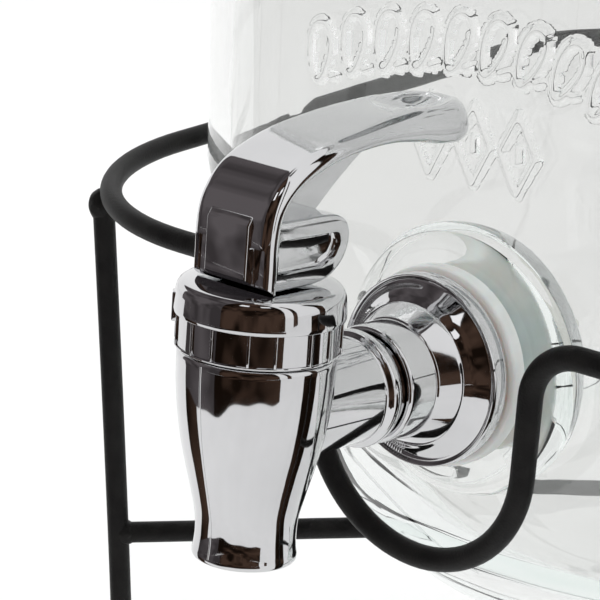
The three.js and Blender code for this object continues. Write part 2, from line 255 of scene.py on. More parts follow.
FINISHES = {  # by material slot
    "black_wire": surface("black_powder_coat", ((0.0045, 0.004, 0.004), (0.009, 0.0085, 0.008)), 0.5,
                          scale=180, bump=0.35, bump_scale=2600, Specular_IOR_Level=0.16),
    "black_rubber": surface("black_rubber", ((0.012, 0.012, 0.012), (0.022, 0.021, 0.021)), 0.7,
                            scale=300, bump=0.3),
    "chrome": surface("chrome_plate", ((0.58, 0.58, 0.59), (0.64, 0.64, 0.65)), 0.045, 0.02,
                      scale=35, bump=0.015, bump_scale=160, Metallic=1.0),
    "spring_steel": surface("spring_steel", ((0.42, 0.42, 0.43), (0.55, 0.55, 0.56)), 0.28,
                            scale=220, bump=0.1, Metallic=1.0),
    "lid_steel": surface("brushed_lid", ((0.50, 0.50, 0.51), (0.62, 0.62, 0.63)), 0.26,
                         scale=90, bump=0.12, bump_scale=1500, Metallic=1.0),
    "silicone": surface("white_silicone", ((0.62, 0.63, 0.62), (0.72, 0.73, 0.72)), 0.42,
                        scale=120, bump=0.1, Subsurface_Weight=0.2),
    "white_nylon": surface("white_nylon", ((0.70, 0.70, 0.67), (0.80, 0.80, 0.77)), 0.38,
                           scale=150, bump=0.12),
    "clear_glass": glass("clear_glass"),
}

# ---------- outlines ----------

FILLET_STEPS = 5


def circle(radius, count):
    return [(radius * math.cos(TURN * k / count), radius * math.sin(TURN * k / count)) for k in range(count)]


def arc(cx, cy, radius, start, end, steps):
    return [(cx + radius * math.cos(start + (end - start) * k / steps),
             cy + radius * math.sin(start + (end - start) * k / steps)) for k in range(steps + 1)]


def fillet(profile):
    """Rounds the corners of an outline. A point is (r, z), or (r, z, reach) where its corner is rounded."""
    out = []
    for i, corner in enumerate(profile):
        here = Vector(corner[:2])
        if len(corner) == 2:
            out.append(tuple(here))
            continue
        before = Vector(profile[i - 1][:2]) - here
        after = Vector(profile[i + 1][:2]) - here
        start = here + before.normalized() * min(corner[2], before.length * 0.49)
        end = here + after.normalized() * min(corner[2], after.length * 0.49)
        for k in range(FILLET_STEPS + 1):
            t = k / FILLET_STEPS
            out.append(tuple(start * (1 - t) ** 2 + here * 2 * t * (1 - t) + end * t * t))
    return out


def spline(points, steps=6):
    """A smooth curve through the points (Catmull-Rom), in any number of dimensions."""
    rows = np.array(points, float)
    rows = np.vstack([2 * rows[0] - rows[1], rows, 2 * rows[-1] - rows[-2]])
    out = []
    for i in range(1, len(rows) - 2):
        a, b, c, d = rows[i - 1:i + 3]
        for k in range(steps):
            t = k / steps
            out.append(0.5 * (2 * b + (c - a) * t + (2 * a - 5 * b + 4 * c - d) * t * t
                              + (3 * b - a - 3 * c + d) * t ** 3))
    out.append(rows[-2])
    return [tuple(p) for p in out]


# ---------- meshes ----------

BEVEL_STEPS = 4
BEVEL_ANGLE = math.radians(40)  # flatter edges stay as they are


def mesh_object(name, verts, faces, matrix=None):
    mesh = bpy.data.meshes.new(name)
    mesh.from_pydata([tuple(v) for v in verts], [], faces)
    if matrix is not None:
        mesh.transform(matrix)
    shape = bmesh.new()
    shape.from_mesh(mesh)
    bmesh.ops.recalc_face_normals(shape, faces=shape.faces)
    shape.to_mesh(mesh)
    shape.free()
    return placed(name, mesh)


def apply_modifiers(obj):
    bpy.context.view_layer.update()
    evaluated = obj.evaluated_get(bpy.context.evaluated_depsgraph_get())
    mesh = bpy.data.meshes.new_from_object(evaluated)
    obj.modifiers.clear()
    obj.data = mesh


def boolean(obj, operation, others):
    for other in others:
        step = obj.modifiers.new("cut", "BOOLEAN")
        step.operation = operation
        step.solver = "EXACT"
        step.object = other
    apply_modifiers(obj)
    for other in others:
        bpy.data.objects.remove(other)


def bevelled(obj, width):
    step = obj.modifiers.new("round", "BEVEL")
    step.width = width
    step.segments = BEVEL_STEPS
    step.limit_method = "ANGLE"
    step.angle_limit = BEVEL_ANGLE
    apply_modifiers(obj)


def join(obj, others):
    shape = bmesh.new()
    for each in [obj, *others]:
        shape.from_mesh(each.data)
    shape.to_mesh(obj.data)
    shape.free()
    for other in others:
        bpy.data.objects.remove(other)


def finish_piece(obj, body, node, slot, crease=38):
    """Shades the piece, gives it the finish of its slot, hangs it on its body's empty and hides the part
    that it replaces.
    """
    obj.data.materials.clear()
    obj.data.materials.append(FINISHES[slot])
    obj.data.polygons.foreach_set("use_smooth", [True] * len(obj.data.polygons))
    obj.data.set_sharp_from_angle(angle=math.radians(crease))
    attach(obj, body)
    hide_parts(node)


def skin(pairs):
    """Faces between pairs of rings of vertex numbers. A ring that is all one vertex gives triangles."""
    faces = []
    for low, high in pairs:
        for k in range(len(low)):
            n = (k + 1) % len(low)
            corners = list(dict.fromkeys((low[k], low[n], high[n], high[k])))
            if len(corners) > 2:
                faces.append(corners)
    return faces


def lathe(name, profile, matrix=None, sides=96):
    """A body of revolution about Z. The outline starts and ends on the axis, or closes on itself."""
    on_axis = profile[0][0] < ON_AXIS
    verts, rings = [], []
    for r, z in profile if on_axis else profile[:-1]:
        if r < ON_AXIS:
            rings.append([len(verts)] * sides)
            verts.append((0, 0, z))
        else:
            rings.append(list(range(len(verts), len(verts) + sides)))
            verts += [(x, y, z) for x, y in circle(r, sides)]
    pairs = list(zip(rings, rings[1:]))
    if not on_axis:
        pairs.append((rings[-1], rings[0]))
    return mesh_object(name, verts, skin(pairs), matrix)


def rod(name, radius, start, end, matrix=None, sides=64):
    return lathe(name, [(0, start), (radius, start), (radius, end), (0, end)], matrix, sides)


def domed(points, radius):
    """A wire's path with its two ends drawn in to domes, and the wire's radius along it."""
    dome = [(radius * (1 - math.cos(a)), radius * math.sin(a)) for a in (0.25, 0.6, 1.0, 1.35)]
    first, last = points[0], points[-1]
    inward_first = (points[1] - first).normalized()
    inward_last = (points[-2] - last).normalized()
    path = [first + inward_first * d for d, _ in dome]
    path += points[1:-1]
    path += [last + inward_last * d for d, _ in reversed(dome)]
    radii = [r for _, r in dome]
    return path, radii + [radius] * (len(points) - 2) + radii[::-1]


def tube(name, path, radius, closed=False, sides=20, matrix=None, dome_ends=False):
    """A wire along a path, with frames carried along it so that it doesn't twist."""
    points = [Vector(p) for p in path]
    radii = [radius] * len(points)
    if dome_ends:
        points, radii = domed(points, radius)
    count = len(points)
    verts = []
    normal = None
    for i, point in enumerate(points):
        ahead = points[(i + 1) % count] if closed or i < count - 1 else point
        behind = points[i - 1] if closed or i > 0 else point
        along = (ahead - behind).normalized()
        if normal is None:
            normal = along.orthogonal().normalized()
        normal = (normal - along * normal.dot(along)).normalized()
        side = along.cross(normal)
        verts += [point + (normal * c + side * s) * radii[i] for c, s in circle(1, sides)]
    rings = [list(range(start, start + sides)) for start in range(0, len(verts), sides)]
    pairs = list(zip(rings, rings[1:]))
    if closed:  # the first ring is met with its vertices shifted, to undo its turn against the last
        first = (verts[0] - points[0]).normalized()
        shift = round(math.atan2(first.dot(side), first.dot(normal)) / TURN * sides)
        pairs.append((rings[-1], rings[0][-shift:] + rings[0][:-shift]))
        return mesh_object(name, verts, skin(pairs), matrix)
    return mesh_object(name, verts, [*skin(pairs), rings[0], rings[-1]], matrix)


def prism(name, near, far, bevel=0.0):
    """A solid between two outlines with as many points each, with its edges rounded."""
    first = list(range(len(near)))
    second = list(range(len(near), 2 * len(near)))
    obj = mesh_object(name, [*near, *far], [first, second, *skin([(first, second)])])
    if bevel:
        bevelled(obj, bevel)
    return obj


def slab(name, outline, thickness, bevel=0.0):
    """An outline in Y and Z with a thickness along X."""
    half = thickness / 2
    return prism(name, [(-half, y, z) for y, z in outline], [(half, y, z) for y, z in outline], bevel)


def block(name, size, at, bevel=0.0):
    x, y, z = (s / 2 for s in size)
    obj = slab(name, [(-y, -z), (y, -z), (y, z), (-y, z)], 2 * x, bevel)
    obj.data.transform(Matrix.Translation(at))
    return obj


def turned_blocks(name, size, at, bevel, angles):
    """Copies of one block, each turned about Z by some degrees."""
    copies = [block(name, size, at, bevel) for _ in angles]
    for copy, angle in zip(copies, angles):
        copy.data.transform(Matrix.Rotation(math.radians(angle), 4, "Z"))
    return copies


def blob(name, at, radii, seed):
    """A lump of weld: a ball pulled out of round by waves."""
    shape = bmesh.new()
    bmesh.ops.create_icosphere(shape, subdivisions=4, radius=1)
    for v in shape.verts:
        wave = math.sin(5 * v.co.x + seed) * math.sin(4 * v.co.y + 2 * seed) * math.sin(6 * v.co.z)
        v.co = at + Vector(c * r for c, r in zip(v.co * (1 + 0.06 * wave), radii))
    mesh = bpy.data.meshes.new(name)
    shape.to_mesh(mesh)
    shape.free()
    return placed(name, mesh)


# ---------- stand ----------

HOOP_CORNER = 54.4
DIP_R = 26.9
DIP_LEAN = math.radians(4.6)
DIP_DEPTH = HOOP_Z - HOOP_LOW.z - WIRE_R
SHOULDER_R = 11.6  # where the hoop bends down into the dip
SHOULDER_OUT = 0.92 * SHOULDER_R
FOOT_R = 4.2
FOOT_H = 14
LEG_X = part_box("foot_cap_rear_right")[1].x / MM - FOOT_R
LEG_RADIUS = LEG_X * math.sqrt(2)
LEG_KNOB = (3.0, 3.0, 3.8)
LEG_SEAM = (2.3, 2.6, 2.2)
BAR_WELD = (2.9, 2.9, 3.0)
BITE = 0.3  # how far welded wires run into each other
WIRE_CREASE = 60
CORNERS = {"front_left": -135, "front_right": -45, "rear_right": 45, "rear_left": 135}


def hoop_path():
    """The rounded square, from its front right corner round to its front left one, then the dip between."""
    h, r = HOOP_HALF, HOOP_CORNER
    bottom = HOOP_Z - DIP_DEPTH + DIP_R
    arm_top = DIP_R * math.cos(DIP_LEAN) + (HOOP_Z - bottom) * math.tan(DIP_LEAN)
    shoulder = arm_top + DIP_R * math.sin(DIP_LEAN) * math.tan(DIP_LEAN) + SHOULDER_OUT
    quarter = math.pi / 2
    plan = []
    for k, (x, y) in enumerate([(1, -1), (1, 1), (-1, 1), (-1, -1)]):
        plan += arc(x * (h - r), y * (h - r), r, (k - 1) * quarter, k * quarter, 24)
    dip = arc(-shoulder, HOOP_Z - SHOULDER_R, SHOULDER_R, quarter, DIP_LEAN, 12)
    dip += arc(0, bottom, DIP_R, math.pi + DIP_LEAN, TURN - DIP_LEAN, 36)
    dip += arc(shoulder, HOOP_Z - SHOULDER_R, SHOULDER_R, math.pi - DIP_LEAN, quarter, 12)
    return [(x, y, HOOP_Z) for x, y in plan] + [(x, -h, z) for x, z in dip]


def make_leg(name, degrees, seed):
    """A wire leg that bows a little, with its knob of weld at the hoop and the cap on its foot."""
    out = Vector((math.cos(math.radians(degrees)), math.sin(math.radians(degrees)), 0))
    foot = out * LEG_RADIUS
    bow = spline([(0, 2.3), (-0.3, 50), (-0.5, 100), (0.1, 150), (1.0, HOOP_Z - 12), (1.3, HOOP_Z - 1.5)])
    path = [foot + out * push + UP * z for push, z in bow]
    leg = tube("leg_wire_" + name, path, WIRE_R, dome_ends=True)
    knob = blob("knob", foot + out * 1.6 + UP * (HOOP_Z - 3.6), LEG_KNOB, seed)
    seam = blob("seam", foot - out * 0.6 + UP * (HOOP_Z - 3.4), LEG_SEAM, seed + 5)
    join(leg, [knob, seam])
    leg.data.transform(STAND)
    finish_piece(leg, "stand", "leg_" + name, "black_wire", WIRE_CREASE)
    cap = lathe("foot_boot_" + name, fillet([
        (0, 0), (FOOT_R, 0, 1), (FOOT_R, FOOT_H - 3), (FOOT_R - 0.4, FOOT_H - 2.6, 0.3),
        (FOOT_R - 0.2, FOOT_H, 0.6), (WIRE_R + 0.1, FOOT_H, 0.3), (WIRE_R + 0.1, 2), (0, 2)]),
        STAND @ Matrix.Translation(foot), sides=48)
    finish_piece(cap, "stand", "foot_cap_" + name, "black_rubber")


def make_crossbar(name, way, start, end, seed):
    """A bar through the stand's axis, or half of one, with a weld at each end."""
    along = Vector((1, way, 0)) / math.sqrt(2)
    path = [along * reach + UP * BAR_Z for reach in (start, (start + end) / 2, end)]
    bar = tube(name + "_wire", path, WIRE_R, sides=24)
    join(bar, [blob("weld", at, BAR_WELD, seed + 3 * k) for k, at in enumerate((path[0], path[-1]))])
    bar.data.transform(STAND)
    finish_piece(bar, "stand", name, "black_wire", WIRE_CREASE)


def make_stand():
    hoop = tube("stand_hoop_wire", hoop_path(), WIRE_R, closed=True, sides=24, matrix=STAND)
    finish_piece(hoop, "stand", "stand_hoop", "black_wire")
    for seed, (name, degrees) in enumerate(CORNERS.items()):
        make_leg(name, degrees, seed)
    reach = LEG_RADIUS - WIRE_R + 2 * BITE
    inner = WIRE_R - BITE
    make_crossbar("crossbar_long", 1, -reach, reach, 0)
    make_crossbar("crossbar_half_left", -1, -reach, -inner, 1)
    make_crossbar("crossbar_half_right", -1, inner, reach, 2)


# ---------- tap ----------

TAP_NECK_R = 11.8
NOZZLE_R = 9.9
CHAMBER_R = 9.5
OUTLET_R = 6.5
WATERWAY_R = 5
BAND_R = 15.1  # the bonnet's ribbed band
BONNET_BORE = 12.1
STEM_BORE = STEM_R + GAP
SHANK_BORE = SHANK_R + GAP
CHROME_CREASE = 32


def make_tap_body():
    outline = spline([
        (NOZZLE_R, NOZZLE_LOW + 1.2), (9.7, -25), (9.55, -22.5), (9.8, -19), (10.7, -15), (12.0, -10),
        (13.2, -5), (14.2, 1), (14.75, 7), (14.9, BODY_TOP - 1)], 5)
    lip = fillet([(0, NOZZLE_LOW), (NOZZLE_R, NOZZLE_LOW, 0.8), outline[0]])
    neck = fillet([outline[-1], (14.6, BODY_TOP - GAP, 0.3), (TAP_NECK_R, BODY_TOP - GAP),
                   (TAP_NECK_R, NECK_TOP, 0.6), (0, NECK_TOP)])
    body = lathe("tap_casting", lip[:-1] + outline + neck[1:], sides=128)
    shank = lathe("shank", fillet([
        (0, 4), (SHANK_R, 4), (SHANK_R, 26.4, 0.8), (11.5, 27, 0.6), (11.7, 28.4, 0.9), (11.4, 29.6, 0.6),
        (SHANK_R, 30.2, 0.6), (SHANK_R, SHANK_END, 0.6), (0, SHANK_END)]), ALONG_Y, sides=128)
    boolean(body, "UNION", [shank])
    chamber = rod("chamber", CHAMBER_R, SEAT_Z, NECK_TOP + 1)
    outlet = lathe("outlet", [(0, NOZZLE_LOW - 1), (8.6, NOZZLE_LOW - 1), (8.2, NOZZLE_LOW + 1.5),
                              (OUTLET_R, NOZZLE_LOW + 4), (OUTLET_R, SEAT_Z + 1), (0, SEAT_Z + 1)], sides=64)
    way = rod("waterway", WATERWAY_R, 0, SHANK_END + 1, ALONG_Y, sides=48)
    boolean(body, "DIFFERENCE", [chamber, outlet, way])
    mould_line = tube("mould_line", [(0, -r - 0.02, z) for r, z in outline], 0.17, sides=8)
    join(body, [mould_line])
    body.data.transform(TAP)
    finish_piece(body, "jar", "tap_body", "chrome", CHROME_CREASE)


def make_bonnet():
    bonnet = lathe("bonnet_cap", fillet([
        (BONNET_BORE, BODY_TOP), (BAND_R, BODY_TOP, 0.25), (BAND_R + 0.1, BODY_TOP + 0.7, 0.2),
        (BAND_R + 0.15, BODY_TOP + 6.6, 0.1), (15.9, BODY_TOP + 6.7, 0.15), (16.0, BODY_TOP + 7.4, 0.2),
        (15.6, BONNET_TOP - 0.5, 2.3), (12.6, BONNET_TOP, 0.6), (STEM_BORE, BONNET_TOP, 0.3),
        (STEM_BORE, NECK_TOP + 2), (BONNET_BORE, NECK_TOP + 2), (BONNET_BORE, BODY_TOP)]), sides=144)
    paired = [45 * pair + side * 9.2 for pair in range(8) for side in (-1, 1)]
    trim = turned_blocks("rib", (0.75, 0.55, 6.4), (BAND_R + 0.1, 0, BODY_TOP + 3.75), 0.16, paired)
    for z in (BODY_TOP + 0.45, BODY_TOP + 6.9):
        ring = [(x, y, z) for x, y in circle(BAND_R + 0.18, 144)]
        trim.append(tube("bead", ring, 0.22, closed=True, sides=8))
    trim += turned_blocks("tab", (1.6, 3.2, 5.6), (15.4, 0, BODY_TOP + 7.2), 0.4, [222])
    join(bonnet, trim)
    bonnet.data.transform(TAP)
    finish_piece(bonnet, "jar", "bonnet", "chrome", CHROME_CREASE)
    low, high = NECK_TOP + GAP, NECK_TOP + 2 - GAP
    seal = lathe("bonnet_seal_ring", fillet([
        (STEM_BORE, low), (10.5, low, 0.4), (10.5, high, 0.4), (STEM_BORE, high, 0.3), (STEM_BORE, low)]),
        TAP, sides=64)
    finish_piece(seal, "jar", "bonnet_seal", "black_rubber")


def make_escutcheon():
    back = TAP_REACH - WASHER - 2 * GAP
    flange = lathe("escutcheon_bell", fillet([
        (SHANK_BORE, back), (SHANK_BORE, 31.8), (11.3, 31.8, 0.3), (11.7, 32.4, 0.5), (11.75, 39.4, 0.25),
        (12.1, 39.7, 0.2), (14.2, 44.0, 0.4), (14.4, 44.5, 0.15), (14.6, 44.7, 0.2), (15.6, 46.0, 1.2),
        (18.4, 48.3, 0.6), (18.8, 47.7, 0.25), (19.3, 47.4, 0.3), (19.6, 48.4, 0.5), (19.6, back - 1, 0.6),
        (18.8, back, 0.4), (SHANK_BORE, back)]), sides=160)
    rows = ((198, 36), (96, 14))  # where a row of ridges starts, and how many it has, 2 degrees apart
    marks = [start + 2 * k for start, count in rows for k in range(count)]
    join(flange, turned_blocks("ridge", (1.5, 0.32, 0.5), (17.0, 0, 47.1), 0.1, marks))
    flange.data.transform(TAP @ ALONG_Y)
    finish_piece(flange, "jar", "escutcheon", "chrome", CHROME_CREASE)


# ---------- lever ----------

LEVER_FOOT = BONNET_TOP + GAP
ARM_HALF = 9.5  # half the arm's width
PADDLE_THICK = 8.3
PADDLE_ROUND = 5.9
TIP_Y = 42  # where the paddle's rounded end starts
TIP_Z = 52.4
TIP_LENGTH = 9.4
DISH_Y = 39.5
DISH_HALF_WIDTH = 7.0
DISH_HALF_LENGTH = 10.5
DISH_DEPTH = 3.0


def arm_rows():
    """Along the arm's middle line: Y, Z, thickness, half width, and how round the edges are."""
    rows = spline([
        (-7.9, LEVER_FOOT, 3.3, ARM_HALF, 2.1), (-7.9, 31, 3.3, ARM_HALF, 2.1),
        (-7.9, 36.5, 3.4, ARM_HALF, 2.2), (-6.9, 41.2, 3.5, ARM_HALF, 2.4),
        (-3.9, 45.2, 3.6, ARM_HALF, 2.5), (1.0, 48.1, 3.5, ARM_HALF, 2.5),
        (8, 50.4, 3.5, ARM_HALF, 2.4), (16, 51.8, 3.6, ARM_HALF, 2.4), (24, 52.6, 4.5, ARM_HALF, 3.2),
        (32, 52.7, 6.2, ARM_HALF, 4.4), (38, 52.5, 7.8, ARM_HALF, 5.6),
        (TIP_Y, TIP_Z, PADDLE_THICK, ARM_HALF, PADDLE_ROUND)])
    for k in range(1, 13):
        a = k / 12.6 * math.pi / 2  # stops just short of a quarter turn, where the width would be nothing
        thick = PADDLE_THICK * (0.35 + 0.65 * math.cos(a) ** 0.8)
        rows.append((TIP_Y + TIP_LENGTH * math.sin(a), TIP_Z, thick, ARM_HALF * math.cos(a), PADDLE_ROUND))
    return rows


def dish(x, y):
    """How deep the thumb's dish is at a place on top of the paddle."""
    rho = (x / DISH_HALF_WIDTH) ** 2 + ((y - DISH_Y) / DISH_HALF_LENGTH) ** 2
    return DISH_DEPTH * max(0.0, 1 - rho) ** 1.5


def arm_section(y, z, thick, half, rounding, lean):
    """A cross-section of the arm, square to its line: a bar, rounder on top than below."""
    points = []
    for quarter, (side, top) in enumerate([(1, 1), (-1, 1), (-1, -1), (1, -1)]):
        r = min(rounding, thick * (0.72 if top > 0 else 0.26), half * 0.98)
        for k in range(9):
            a = (quarter + k / 8) * math.pi / 2
            points.append((side * (half - r) + r * math.cos(a), top * (thick / 2 - r) + r * math.sin(a)))
        if side == top:  # the top or the underside follows this corner
            points += [(top * (half - r) * (1 - k / 8), top * thick / 2) for k in range(1, 16)]
    section = []
    for x, h in points:
        place = Vector((x, y - h * math.sin(lean), z + h * math.cos(lean)))
        if h > 0:
            place.z -= dish(place.x, place.y)
        section.append(place)
    return section


def make_arm():
    rows = arm_rows()
    verts, sections = [], []
    for i, row in enumerate(rows):
        before, after = rows[max(i - 1, 0)], rows[min(i + 1, len(rows) - 1)]
        lean = math.atan2(after[1] - before[1], after[0] - before[0])
        section = arm_section(*row, lean)
        sections.append(list(range(len(verts), len(verts) + len(section))))
        verts += section
    faces = skin(zip(sections, sections[1:]))
    return mesh_object("lever_handle", verts, [*faces, sections[0], sections[-1]])


def make_lever():
    foot = LEVER_FOOT
    lever = make_arm()
    lobe_line = spline([(4.2, foot), (7.8, 26.9), (11.0, 28.8), (13.0, 31.5), (13.6, 34.2), (12.8, 37.0),
                        (10.2, 38.6), (6, 39.0)], 4)
    lobe = slab("lobe", [(-8.3, foot), *lobe_line, (-8.3, 39.2)], 17.8, 0.9)
    rib_line = spline([(8.8, 37.4), (15.6, 43.3), (23.2, 48.6), (30, 50.8)], 4)
    rib = slab("rib", [(-8, 34), (8.6, 36.8), *rib_line, (10, 50.5), (0, 47), (-6, 42)], 6.0, 0.5)
    plate = slab("plate", [(-10.35, foot + 1.3), (-10.35, 38.4), (-9.3, 40.0), (-7, 40), (-7, foot + 1.3)],
                 10.2, 0.35)
    boolean(lever, "UNION", [lobe, rib, plate])
    slot = slab("slot", [(-6.4, foot - 1), (3, foot - 1), (3, PIN_Z - 1), (3.8, PIN_Z + 1.3),
                         (3.8, PIN_Z + 3.8), (-3, PIN_Z + 3.8), (-3.1, PIN_Z)], 6.4)
    hole = rod("hole", PIN_HOLE_R, -7.1, 7.1, ALONG_PIN, sides=32)
    toe = slab("toe", [(-12, foot - 1), (-7.2, foot - 1), (-7.2, foot), (-9.7, foot + 1.8),
                       (-12, foot + 3.4)], 24)
    cuts = [slot, hole, toe]
    for side in (-1, 1):
        cuts.append(block("recess", (3.3, 2.6, 7.1), (side * 6.85, -9.6, foot + 4.7), 0.3))
        pocket = slab("pocket", [(-5.9, 29.4), (6, 29.4), (9.6, 31.0), (11.0, 33.4), (10.4, 35.6),
                                 (-5.9, 36.0)], 3.4, 0.9)
        pocket.data.transform(Matrix.Translation((side * 8.9, 0, 0)))
        cuts.append(pocket)
    boolean(lever, "DIFFERENCE", cuts)
    lever.data.transform(TAP)
    finish_piece(lever, "lever", "lever", "chrome", 34)


# ---------- valve and fixings ----------

COLLAR = SEAT_Z + 5  # foot of the stem's collar
STEM_TOP = PIN_Z + 2.6
CUP_TOP = SEAT_Z + 4.7
SPRING_R = 4.4
SPRING_WIRE_R = 0.45
SPRING_LOW = SEAT_Z + 10.5  # clear of the collar when the stem is up
SPRING_HIGH = NECK_TOP - 0.9
SPRING_TURNS = 6
COIL_STEPS = 24  # in a turn
INNER_WASHER = 2.5
NUT = 9
NUT_R = 18


def make_valve():
    pin_outline = fillet([(0, -7), (1.4, -7, 0.3), (1.4, 7, 0.3), (0, 7)])
    pin = lathe("lever_pin_rod", pin_outline, TAP @ ALONG_PIN, sides=40)
    finish_piece(pin, "stem", "lever_pin", "spring_steel")
    stem = lathe("valve_stem_rod", fillet([
        (0, COLLAR), (5, COLLAR, 0.3), (5, COLLAR + 2, 0.3), (STEM_R, COLLAR + 2.2, 0.3),
        (STEM_R, STEM_TOP, 0.5), (0, STEM_TOP)]), sides=48)
    boolean(stem, "DIFFERENCE", [rod("eye", PIN_HOLE_R, -6, 6, ALONG_PIN, sides=32)])
    stem.data.transform(TAP)
    finish_piece(stem, "stem", "valve_stem", "white_nylon")
    cup = lathe("seat_cup_plug", fillet([
        (0, SEAT_Z + GAP), (8, SEAT_Z + GAP, 0.6), (8.3, SEAT_Z + 3, 0.6), (3, CUP_TOP, 0.4), (0, CUP_TOP)]),
        TAP, sides=64)
    finish_piece(cup, "stem", "seat_cup", "silicone")
    rise = (SPRING_HIGH - SPRING_LOW) / (SPRING_TURNS * COIL_STEPS)
    turns = circle(SPRING_R, COIL_STEPS) * SPRING_TURNS + [(SPRING_R, 0)]
    coil = [(x, y, SPRING_LOW + rise * k) for k, (x, y) in enumerate(turns)]
    spring = tube("return_spring_coil", coil, SPRING_WIRE_R, sides=10, matrix=TAP)
    finish_piece(spring, "jar", "return_spring", "spring_steel", WIRE_CREASE)


def make_washer(name, node, start, end, outer):
    washer = lathe(name, fillet([
        (SHANK_BORE, start), (outer, start, 0.7), (outer, end, 0.7), (SHANK_BORE, end, 0.2),
        (SHANK_BORE, start)]), TAP @ ALONG_Y, sides=128)
    finish_piece(washer, "jar", node, "silicone")


def make_fixings():
    make_washer("outer_washer_ring", "outer_washer", TAP_REACH - WASHER - GAP, TAP_REACH - GAP, 20.5)
    inside = TAP_REACH + PAD + GAP
    make_washer("inner_washer_ring", "inner_washer", inside, inside + INNER_WASHER, 19.5)
    near, far = ([(x, y, z) for x, y in circle(NUT_R, 6)] for z in (0, NUT))
    nut = prism("lock_nut_hex", near, far, 0.9)
    boolean(nut, "DIFFERENCE", [rod("bore", 10.7, -1, NUT + 1)])
    along = Matrix.Translation((0, 0, inside + INNER_WASHER + GAP))
    nut.data.transform(TAP @ ALONG_Y @ along @ Matrix.Rotation(math.pi / 6, 4, "Z"))
    finish_piece(nut, "jar", "lock_nut", "white_nylon")


# ---------- jar ----------

BOSS_R = 27.2
DRAFT = 3  # how far the side walls lean in, from WALL_LOW to WALL_HIGH
WALL_LOW = 90
WALL_HIGH = JAR_HEIGHT - NECK_H - 45

GARLAND_X = 6
GARLAND_Z = 128  # foot of its middle leaf, above the jar's base
LEAF_STEP = 8.6
ARCH_HALF = 45
ARCH_DROP = 9
LOZENGE_X = 2.5
LOZENGE_Z = 114
LOZENGE_STEP = 11
LOZENGE_HALF_WIDTH = 4.4
LOZENGE_HALF_HEIGHT = 8
STROKE = 1.15  # half the width of a raised line
RELIEF = 1.1
FINE_SPAN = math.radians(24)  # the mesh is fine this far each way from the front, for the garland
FINE_COLUMNS = 168
COARSE_COLUMNS = 104
FINE_ROWS = 98
FINE_STEP = 0.42


def rounded_square(angle, half, corner):
    """Distance from the middle of a rounded square to its edge."""
    c, s = abs(math.cos(angle)), abs(math.sin(angle))
    far, near = max(c, s), min(c, s)
    core = half - corner
    if half * near / far <= core:
        return half / far
    reach = core * (c + s)
    return reach + math.sqrt(reach * reach - 2 * core * core + corner * corner)


def wall_at(z):
    """Distance from the jar's axis to the middle of a side wall, at a height above its base."""
    return JAR_HALF - DRAFT * (z - WALL_LOW) / (WALL_HIGH - WALL_LOW)


def jar_profile():
    """Outer then inner outline: half width, height above the base, and squareness from 0 (round) to 1."""
    h, top = JAR_HALF, JAR_HEIGHT
    s = top - NECK_H
    t = WALL
    foot = fillet([(0, 3.2), (h - 37, 2.6, 3), (h - 33, 0, 1.5), (h - 27, 0)])
    outer = [(r, z, 0) for r, z in foot]
    outer += spline([(h - 25, 0.7, 0), (h - 20, 4, 0), (h - 11, 15, .05), (h - 4, 32, .25), (h - 1, 52, .55),
                     (h, 72, .85), (h, WALL_LOW, 1)])
    fine = [LOZENGE_Z - 11 + FINE_STEP * k for k in range(FINE_ROWS)]
    outer += [(wall_at(z), z, 1) for z in (96, *fine, 152, 168, 184, 196)]
    outer += spline([(h - DRAFT, WALL_HIGH, 1), (h - 6, s - 30, .95), (h - 14, s - 16, .8),
                     (h - 28, s - 6, .5), (NECK_R + 4, s - 1, .1), (NECK_R, s + 3, 0)])
    lip = fillet([(NECK_R, s + 3), (NECK_R, s + 8), (NECK_R + 1.5, s + 8.6, .5), (NECK_R + 1.5, s + 10, .5),
                  (NECK_R, s + 10.8), (NECK_R, top, 1.2), (NECK_R - t, top, 1.2), (NECK_R - t, s + 2)])
    outer += [(r, z, 0) for r, z in lip[1:]]
    inner = spline([(NECK_R - t, s + 2, 0), (NECK_R, s - 5, .1), (h - 31, s - 11, .5), (h - 17, s - 20, .8),
                    (h - t - 6, s - 33, .95), (h - t - 3, s - 47, 1)], 5)
    inner += spline([(h - t - 3, s - 47, 1), (h - t - 1.5, 140, 1), (h - t, 90, 1), (h - t, 73, .85),
                     (h - t - 1, 54, .55), (h - t - 5, 35, .25), (h - t - 13, 20, .05), (h - t - 26, 12, 0),
                     (h - 44, 10, 0)], 5)[1:]
    return outer + inner[1:] + [(30, 9.6, 0), (0, 9.5, 0)]


def leaf(x, z, degrees, length, width):
    """The outline of a leaf, from its foot round to it again."""
    a = math.radians(degrees)
    points = []
    for k in range(21):
        t = k / 20
        along = length * (0.5 - 0.5 * math.cos(TURN * t))
        side = width * math.sin(TURN * t) * (1 - 0.3 * math.cos(TURN * t))
        points.append((x + along * math.cos(a) - side * math.sin(a),
                       z + along * math.sin(a) + side * math.cos(a)))
    return points


def ornament():
    """Lines moulded in the front of the jar: an arch of leaves with buds between, over three lozenges."""
    lines = []
    for k in range(-5, 6):
        away = LEAF_STEP * k
        x, foot = GARLAND_X + away, GARLAND_Z - ARCH_DROP * (away / ARCH_HALF) ** 2
        lines.append(leaf(x - 1.5, foot, 70 - 3 * k, 12.5, 2.7))
        lines.append([(x + 2.3, foot + 1.2), (x + 2.9, foot + 1.4)])
    w, h = LOZENGE_HALF_WIDTH, LOZENGE_HALF_HEIGHT
    for k in (-1, 0, 1):
        x = LOZENGE_X + LOZENGE_STEP * k
        corners = [(0, -h), (w, 0), (0, h), (-w, 0), (0, -h)]
        lines.append([(x + dx, LOZENGE_Z + dz) for dx, dz in corners])
        lines.append([(x, LOZENGE_Z - 1.4), (x, LOZENGE_Z + 1.4)])
    return lines


